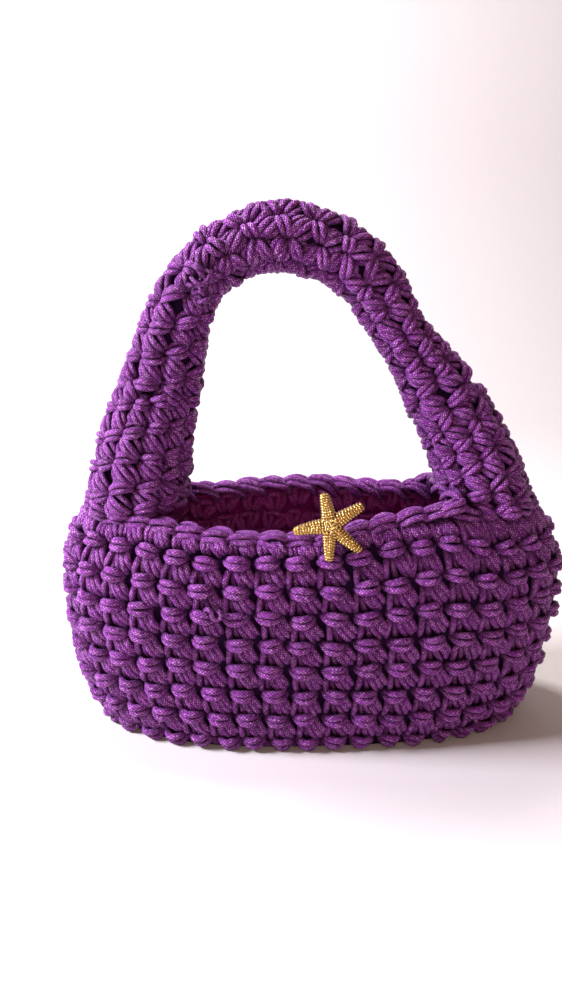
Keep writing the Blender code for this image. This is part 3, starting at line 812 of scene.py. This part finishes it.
def bundlePaths(bundles):
    batches = []
    t = np.linspace(0.0, 1.0, bundleSetup["points"])[None]
    for kind, strands in bundleStrands.items():
        chosen = bundles[bundles[:, 4] == kind]
        count = len(chosen)
        perimeter = perimeterAt((chosen[:, 1] + chosen[:, 3]) / 2.0)
        start = np.stack([chosen[:, 0] * perimeter, chosen[:, 1] * strapRowPitch], axis=1)
        end = np.stack([chosen[:, 2] * perimeter, chosen[:, 3] * strapRowPitch], axis=1)
        ahead = end - start
        ahead /= np.linalg.norm(ahead, axis=1)[:, None]
        aside = np.stack([-ahead[:, 1], ahead[:, 0]], axis=1)
        bow = rng.normal(0.0, bundleSetup["bow"], count) * mm
        lift = rng.normal(0.0, bundleSetup["lift"], count)
        swellOut = np.sin(math.pi * t) ** 0.62
        spread = bundleSetup["pinch"] + (1.0 - bundleSetup["pinch"]) * np.sin(math.pi * t) ** 0.8
        for sideways, out, thick in strands:
            offset = sideways * mm * (1.0 + rng.normal(0.0, 0.10, count))
            spare = rng.normal(bundleSetup["gap"], bundleSetup["stagger"], (2, count, 1)) * mm
            near, far = start + ahead * spare[0], end - ahead * spare[1]
            flat = (near[:, None] + (far - near)[:, None] * t[..., None]
                    + aside[:, None] * (offset[:, None] * spread + bow[:, None] * swellOut)[..., None])
            high = (bundleSetup["dive"] + (out + lift[:, None] - bundleSetup["dive"]) * swellOut) * mm
            turn = flat[..., 0] / perimeter[:, None]
            place, normal = readGrid(strapGrid, turn, flat[..., 1] / strapRowPitch)
            points = place + normal * high[..., None]
            radii = strap["cordRadius"] * thick * (0.80 + 0.20 * swellOut) * np.ones((count, 1))
            batches.append(sweep(points, radii, normal[:, 0], bundleSetup["sides"]))
    return batches


bundles = strapLattice()
halfWay = bundles[:, 1] < strap["rows"] / 2
for name, half in (("handleStitchesLeft", halfWay), ("handleStitchesRight", ~halfWay)):
    dress(joinTubes(name, bundlePaths(bundles[half])), purple, "handle")


# Whip stitched seam along the inner edge of the handle
seamSetup = {"turn": 0.50, "strands": [(-1.8, -2.2), (1.8, -1.9)], "wave": 1.3, "pointsPerRow": 6}


def seamPaths():
    batches = []
    count = strap["rows"] * seamSetup["pointsPerRow"]
    row = np.linspace(0.9, strap["rows"] - 0.9, count)
    for sideways, out in seamSetup["strands"]:
        phase = rng.random() * 2.0 * math.pi
        wave = seamSetup["wave"] * np.sin(2.0 * math.pi * row + phase)
        high = out + 1.0 * np.cos(2.0 * math.pi * row + phase) - 0.6
        turn = seamSetup["turn"] + (sideways + wave) * mm / perimeterAt(row)
        place, normal = readGrid(strapGrid, turn, row)
        points = (place + normal * (high * mm)[:, None])[None]
        radii = np.full((1, count), strap["cordRadius"])
        batches.append(sweep(points, radii, normal[:1], 8))
    return batches


dress(joinTubes("handleSeam", seamPaths()), purple, "handle")


# Knot where the cord was joined, on the front of the handle
joinKnot = {"place": (-0.0475, -0.0160, 0.2200), "loops": 16, "size": 2.3, "out": 1.6, "cord": 0.00085}


def knotPaths():
    flat = strapGrid["points"].reshape(-1, 3)
    nearest = np.argmin(np.linalg.norm(flat - np.array(joinKnot["place"]), axis=1))
    normal = strapGrid["normals"].reshape(-1, 3)[nearest]
    middle = flat[nearest] + normal * joinKnot["out"] * mm
    control = []
    for _ in range(joinKnot["loops"]):
        tilt = rng.normal(0.0, 1.0, 3)
        first = np.cross(normal, tilt)
        first /= np.linalg.norm(first)
        second = normal + 0.35 * rng.normal(0.0, 1.0, 3)
        second /= np.linalg.norm(second)
        shift = rng.normal(0.0, 1.0, 3) * (2.0, 0.7, 3.4) * mm
        size = joinKnot["size"] * mm * (1.0 + rng.normal(0.0, 0.12))
        angles = np.linspace(-0.15 * math.pi, 1.15 * math.pi, 7)
        control.append([middle + shift + size * (first * math.cos(a) + second * 0.8 * math.sin(a))
                        for a in angles])
    points = smoothPaths(np.array(control), 14)
    radii = np.full(points.shape[:2], joinKnot["cord"])
    return [sweep(points, radii, np.tile(normal, (len(points), 1)) + 0.01, 8)]


dress(joinTubes("joinKnot", knotPaths()), purple, "handle")
print("handle stitched")


# Dark cores, which close the view between the stitches, as painted shade where the gaps would only show
# shadow
coreSetup = {
    "outer": -3.6, "inner": -5.6, "strapInset": -3.9,       # mm from the stitched face
    "skinFrom": -6.0, "skinTo": -7.0,
    "around": 160, "rings": 34, "strapAround": 48, "strapRings": 90, "strapEnd": 0.15,
}


def closedSkin(name, rings):
    rings = np.array(rings)
    count, around = rings.shape[:2]
    faces = []
    for k in range(count - 1):
        after = k + 1
        for j in range(around):
            faces.append((k * around + j, k * around + (j + 1) % around,
                          after * around + (j + 1) % around, after * around + j))
    faces.append(tuple(range(around))[::-1])
    faces.append(tuple((count - 1) * around + j for j in range(around)))
    mesh = bpy.data.meshes.new(name)
    mesh.from_pydata(rings.reshape(-1, 3).tolist(), [], faces)
    mesh.shade_smooth()
    piece = bpy.data.objects.new(name, mesh)
    bpy.context.scene.collection.objects.link(piece)
    return piece


def wallRings(outside, inside, lowest, highest):
    # up the outside of a thin wall and down its inside
    around = np.arange(coreSetup["around"]) / coreSetup["around"]
    rings = []
    for offset, order in ((outside, 1), (inside, -1)):
        for row in np.linspace(lowest, highest, coreSetup["rings"])[::order]:
            place, normal = readGrid(bodyGrid, around, np.full(len(around), row))
            rings.append(place + normal * (offset * mm))
    return rings


bodyCore = wallRings(coreSetup["outer"], coreSetup["inner"], baseMiddle + 0.4, rimRow - 0.2)
dress(closedSkin("bodyCore", bodyCore), paintedShadeCore, "bag_body")
insideCore = wallRings(coreSetup["skinFrom"], coreSetup["skinTo"], baseMiddle + 0.6, rimRow - 0.3)
dress(closedSkin("insideCore", insideCore), paintedShadeInside, "bag_body")
strapRings = []
around = np.arange(coreSetup["strapAround"]) / coreSetup["strapAround"]
for row in np.linspace(coreSetup["strapEnd"], strap["rows"] - coreSetup["strapEnd"], coreSetup["strapRings"]):
    place, normal = readGrid(strapGrid, around, np.full(len(around), row))
    strapRings.append(place + normal * (coreSetup["strapInset"] * mm))
dress(closedSkin("handleCore", strapRings), paintedShadeCore, "handle")
print("cores closed")


# Starfish charm on its own place on the front wall
starSetup = {
    "across": 0.0068, "pinDrop": 0.0080, "raise": 0.0125, "standOff": 0.0030, "radius": 0.0170,
    "rootWidth": 0.0078, "tipWidth": 0.0036, "thickness": 0.0042, "beadRadius": 0.00047,
    "ridgesPerSide": 10, "ridgeRadius": 0.00038,
    "edge": 0.0008,              # thickness along the rims of the arms
}
# columns: angle in degrees, length as a share of the radius, bend
starArms = [(99.0, 0.88, 0.04), (34.0, 1.03, -0.04), (-44.0, 1.06, 0.08), (-93.0, 0.95, 0.03),
            (185.0, 0.98, 0.07)]


def starFrame():
    fine = np.arange(4000) / 4000.0
    row = (bagBody["height"] - starSetup["pinDrop"] - bagBody["firstRow"]) / rowPitch
    step = 0.02 * bagBody["height"] / rowPitch
    found = []
    for level in (row, row + step, row - step):
        ring = readGrid(bodyGrid, fine, np.full(4000, level))[0]
        ring = ring[ring[:, 1] < 0.0]
        found.append(Vector(ring[np.argmin(np.abs(ring[:, 0] - starSetup["across"]))]))
    up = found[1] - found[2]
    up.x = 0.0
    up.normalize()
    right = Vector((1.0, 0.0, 0.0))
    outward = right.cross(up)
    here = found[0]
    here.x = starSetup["across"]
    middle = here + up * starSetup["raise"] + outward * starSetup["standOff"]
    return np.array(middle), np.array((right, up, outward))


def onStar(flat):
    # flat is across, up and out in the charm's own frame
    middle, axes = starFrame()
    return middle + flat @ axes


def armPlace(arm, share, across):
    angle, lengthShare, bend = arm
    length = starSetup["radius"] * lengthShare
    turn = math.radians(angle)
    axis = np.array((math.cos(turn), math.sin(turn)))
    side = np.array((-axis[1], axis[0]))
    share = np.asarray(share, float)
    across = np.asarray(across, float)
    return axis * (length * share)[..., None] + side * (across + bend * length * share ** 2)[..., None]


def armHalf(share):
    wide = starSetup["rootWidth"] + (starSetup["tipWidth"] - starSetup["rootWidth"]) * share
    return wide / 2.0 * np.sqrt(np.clip((1.02 - share) / 0.13, 0.02, 1.0))


def armCrest(share):
    tip = np.sqrt(np.clip((1.03 - share) / 0.16, 0.02, 1.0))
    return starSetup["thickness"] * (1.0 - 0.45 * share) * tip


def armHigh(crest, lane):
    # height of an arm's rounded face, lane 0 on its crest and 1 on its rim
    return starSetup["edge"] + (crest - starSetup["edge"]) * max(1.0 - lane * lane, 0.0) ** 0.4


def starSkins():
    # each arm is a rounded bar from the middle to its tip, flat behind
    edge = starSetup["edge"]
    batches = []
    shares = np.concatenate([np.linspace(0.0, 0.8, 9), (0.88, 0.94, 0.98, 1.0)])
    around = np.linspace(0.0, 2.0 * math.pi, 21)[:-1]
    for arm in starArms:
        rings = []
        for share in shares:
            half, crest = float(armHalf(share)), float(armCrest(share))
            across = half * np.cos(around)
            rise = np.sin(around)
            high = np.where(rise > 0.0, edge + (crest - edge) * np.abs(rise) ** 0.8,
                            edge * (1.0 + np.maximum(rise * 3.0, -1.0)))
            flat = armPlace(arm, np.full(20, share), across)
            rings.append(np.column_stack([flat, high]))
        rings = np.array(rings)
        world = onStar(rings.reshape(-1, 3))
        run = shares * starSetup["radius"]
        batches.append({"verts": world[None], "length": run[None], "m": len(shares), "sides": 20})
    return batches


def ballBatch(centres, radii, rings=5, sides=7):
    # small balls, squashed onto the charm, as one batch
    poles = np.linspace(0.06, math.pi - 0.06, rings)
    around = np.arange(sides) * 2.0 * math.pi / sides
    unit = np.stack([np.outer(np.sin(poles), np.cos(around)), np.outer(np.sin(poles), np.sin(around)),
                     np.outer(np.cos(poles), np.ones(sides))], axis=-1).reshape(-1, 3)
    verts = centres[:, None] + (unit @ starFrame()[1])[None] * radii[:, None, None]
    length = np.cumsum(np.full((len(centres), rings), 0.0003), axis=1)
    return {"verts": verts, "length": length, "m": rings, "sides": sides}


def starGrain():
    centres, radii = [], []
    for arm in starArms:
        for lane, spacing in ((0.0, 1.0), (-0.34, 1.0), (0.34, 1.0)):
            for share in np.arange(0.05 + 0.03 * abs(lane), 0.97, 0.074):
                half, crest = float(armHalf(share)), float(armCrest(share))
                across = lane * half + rng.normal(0.0, 0.00008)
                flat = armPlace(arm, share, across)
                centres.append((flat[0], flat[1], armHigh(crest, lane)))
                radii.append(starSetup["beadRadius"] * (1.15 - 0.35 * share) * (1.0 + rng.normal(0.0, 0.08)))
    for _ in range(26):
        turn, away = rng.random() * 2.0 * math.pi, 0.0034 * math.sqrt(rng.random())
        centres.append((away * math.cos(turn), away * math.sin(turn), starSetup["thickness"] * 0.99))
        radii.append(starSetup["beadRadius"] * 1.05)
    return ballBatch(onStar(np.array(centres)), np.array(radii))


def starRidges():
    control = []
    for arm in starArms:
        for sign in (-1.0, 1.0):
            for share in np.linspace(0.20, 0.93, starSetup["ridgesPerSide"]):
                half, crest = float(armHalf(share)), float(armCrest(share))
                line = []
                for lane in (0.50, 0.72, 0.90, 1.00):
                    flat = armPlace(arm, share + 0.03 * (lane - 0.5), sign * lane * half)
                    line.append((flat[0], flat[1], armHigh(crest, lane)))
                control.append(line)
    paths = onStar(np.array(control).reshape(-1, 3)).reshape(len(control), 4, 3)
    paths = smoothPaths(paths, 5)
    radii = np.full(paths.shape[:2], starSetup["ridgeRadius"])
    hints = np.tile(starFrame()[1][2], (len(paths), 1))
    return [sweep(paths, radii, hints, 6)]


dress(joinTubes("starfishCharm", starSkins()), oldGold, "star_charm")
dress(joinTubes("starfishGrain", [starGrain()] + starRidges()), gold, "star_charm")
print("star made")


# Pale stage and soft light
stageSetup = {"colour": (0.60, 0.59, 0.57), "backAt": 0.9, "bend": 0.35, "half": 3.0, "height": 2.5}


def makeStage(setup):
    profile = [(-setup["half"], 0.0), (setup["backAt"] - setup["bend"], 0.0)]
    for step in range(1, 13):
        angle = math.pi / 2.0 * step / 12.0
        profile.append((setup["backAt"] - setup["bend"] + setup["bend"] * math.sin(angle),
                        setup["bend"] - setup["bend"] * math.cos(angle)))
    profile.append((setup["backAt"], setup["height"]))
    verts = [(x, y, z) for y, z in profile for x in (-setup["half"], setup["half"])]
    faces = [(2 * i, 2 * i + 1, 2 * i + 3, 2 * i + 2) for i in range(len(profile) - 1)]
    mesh = bpy.data.meshes.new("paleStage")
    mesh.from_pydata(verts, [], faces)
    mesh.shade_smooth()
    stage = bpy.data.objects.new("paleStage", mesh)
    bpy.context.scene.collection.objects.link(stage)
    material = bpy.data.materials.new("palePaper")
    material.use_nodes = True
    shader = material.node_tree.nodes["Principled BSDF"]
    shader.inputs["Base Color"].default_value = (*setup["colour"], 1.0)
    shader.inputs["Roughness"].default_value = 0.85
    mesh.materials.append(material)


# columns: name, place, aimed at, size, watts, colour
lightSetup = [
    ("keyWindow", (-0.95, -0.10, 0.66), (0.0, 0.0, 0.10), 0.30, 33.0, (0.92, 0.86, 1.0)),
    ("fillFront", (0.20, -1.10, 0.50), (0.0, 0.0, 0.08), 0.9, 3.8, (1.0, 0.62, 0.50)),
    ("topSoft", (-0.30, 0.30, 1.10), (0.0, 0.03, 0.10), 0.20, 13.0, (1.0, 0.94, 0.95)),
]
# faint narrow beam between the handle's legs onto the back rim
sunBeam = {"place": (-0.12, -0.42, 0.45), "aim": (0.012, 0.045, 0.126), "width": 0.060, "height": 0.008,
           "spread": 3.0, "watts": 0.024, "colour": (1.0, 0.80, 0.95)}


roomGlow = {"colour": (1.0, 0.78, 0.70), "strength": 0.26}


def makeLight(name, place, aim, size, watts, colour):
    data = bpy.data.lights.new(name, "AREA")
    data.size = size
    data.energy = watts
    data.color = colour
    light = bpy.data.objects.new(name, data)
    light.location = place
    light.rotation_euler = (Vector(aim) - Vector(place)).to_track_quat("-Z", "Y").to_euler()
    bpy.context.scene.collection.objects.link(light)
    return data


def makeBeam(setup):
    beam = makeLight("sunBeam", setup["place"], setup["aim"], setup["width"], setup["watts"], setup["colour"])
    beam.shape = "RECTANGLE"
    beam.size_y = setup["height"]
    beam.spread = math.radians(setup["spread"])


def makeRoomGlow(setup):
    world = bpy.data.worlds.new("softRoom")
    world.use_nodes = True
    glow = world.node_tree.nodes["Background"]
    glow.inputs["Color"].default_value = (*setup["colour"], 1.0)
    glow.inputs["Strength"].default_value = setup["strength"]
    bpy.context.scene.world = world


makeStage(stageSetup)
for light in lightSetup:
    makeLight(*light)
makeBeam(sunBeam)
makeRoomGlow(roomGlow)
bpy.context.scene.view_settings.view_transform = "Standard"
print("stage and light set")

# The charm's pin shows its disc inside the bag
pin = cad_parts["star_pin"]
for place in range(len(pin.data.materials)):
    pin.data.materials[place] = gold
print("pin gilded")
